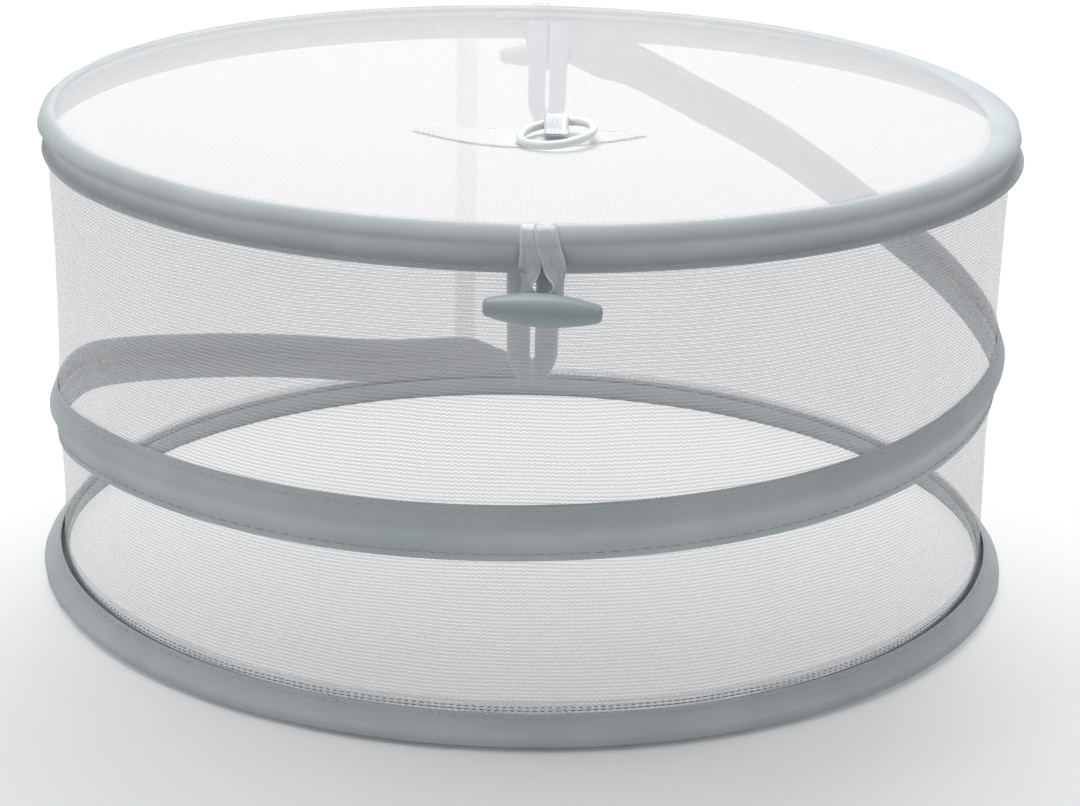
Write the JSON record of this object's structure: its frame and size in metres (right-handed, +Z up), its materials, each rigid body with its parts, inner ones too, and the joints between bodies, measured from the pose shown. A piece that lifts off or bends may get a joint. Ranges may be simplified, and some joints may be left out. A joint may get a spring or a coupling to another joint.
{
  "type": "pop-up mesh food cover",
  "caption": "Collapsible round food cover of white net on two wire hoops and a spiral wire, with cloth bindings, ribbon toggles and a lifting ring.",
  "frame": {"origin": "on the table, under the middle of the cover", "axes": "+Z up through the middle of the cover, -Y to the front where the toggle hangs, +X to the right seen from the front"},
  "size_m": [0.32, 0.3372, 0.1568],
  "materials": {
    "spring_steel": "hard-drawn spring wire, plain",
    "binding_cloth": "grey-green woven polyester tape, matt",
    "white_net": "fine white polyester net, half see-through",
    "satin_ribbon": "silver-white satin ribbon",
    "toggle_plastic": "moulded grey-green plastic, satin",
    "ring_plastic": "moulded pale green-white plastic"
  },
  "bodies": {
    "base": {"bottom_hoop_wire": "spring_steel", "bottom_hoop_ferrule": "spring_steel", "bottom_binding": "binding_cloth", "lower_net_hem": "white_net", "wall_net": "white_net", "wall_side_seam": "white_net", "spiral_wire": "spring_steel", "spiral_binding": "binding_cloth"},
    "top_hoop": {"top_hoop_wire": "spring_steel", "top_hoop_ferrule": "spring_steel", "top_binding": "binding_cloth", "top_net": "white_net", "centre_patch": "white_net", "ring_tab": "satin_ribbon", "ring_tab_tack": "satin_ribbon"},
    "ring": {"lift_ring": "ring_plastic"},
    "front_strap": {"front_toggle_strap": "satin_ribbon", "front_strap_tack": "satin_ribbon"},
    "front_toggle": {"front_toggle": "toggle_plastic"},
    "front_loop": {"front_closing_loop": "satin_ribbon"},
    "rear_strap": {"rear_toggle_strap": "satin_ribbon", "rear_strap_tack": "satin_ribbon"},
    "rear_toggle": {"rear_toggle": "toggle_plastic"},
    "rear_loop": {"rear_closing_loop": "satin_ribbon"}
  },
  "joints": [
    {"name": "collapse", "type": "slide", "parent": "base", "child": "top_hoop", "axis": [0, 0, -1], "range_m": [0, 0.12], "stiffness_N_per_m": 30, "springref_m": -0.05, "deforming": ["wall_net", "wall_side_seam", "spiral_wire", "spiral_binding"]},
    {"name": "ring_flip", "type": "hinge", "parent": "top_hoop", "child": "ring", "pos_m": [0.0085, 0.00485, 0.14574], "axis": [-1, 0, 0], "range_deg": [0, 170]},
    {"name": "front_strap_swing", "type": "hinge", "parent": "top_hoop", "child": "front_strap", "pos_m": [0.004, -0.15261, 0.15542], "axis": [-0.9997, -0.0262, 0], "range_deg": [0, 150]},
    {"name": "front_toggle_tilt", "type": "hinge", "parent": "front_strap", "child": "front_toggle", "pos_m": [0.00412, -0.1574, 0.1313], "axis": [0.9997, 0.0262, 0], "range_deg": [-5, 60]},
    {"name": "front_loop_fold", "type": "hinge", "parent": "top_hoop", "child": "front_loop", "pos_m": [0.00181, -0.15303, 0.1491], "axis": [0.9997, 0.0262, 0], "range_deg": [0, 80]},
    {"name": "rear_strap_swing", "type": "hinge", "parent": "top_hoop", "child": "rear_strap", "pos_m": [0.004, 0.15261, 0.15542], "axis": [0.9997, -0.0262, 0], "range_deg": [0, 150]},
    {"name": "rear_toggle_tilt", "type": "hinge", "parent": "rear_strap", "child": "rear_toggle", "pos_m": [0.00412, 0.1574, 0.1313], "axis": [-0.9997, 0.0262, 0], "range_deg": [-5, 60]},
    {"name": "rear_loop_fold", "type": "hinge", "parent": "top_hoop", "child": "rear_loop", "pos_m": [0.0062, 0.15292, 0.1491], "axis": [-0.9997, 0.0262, 0], "range_deg": [0, 80]}
  ],
  "couplings": [
    {"joint": "front_loop_fold", "follows": "collapse", "rad_per_m": 11},
    {"joint": "rear_loop_fold", "follows": "collapse", "rad_per_m": 11}
  ]
}
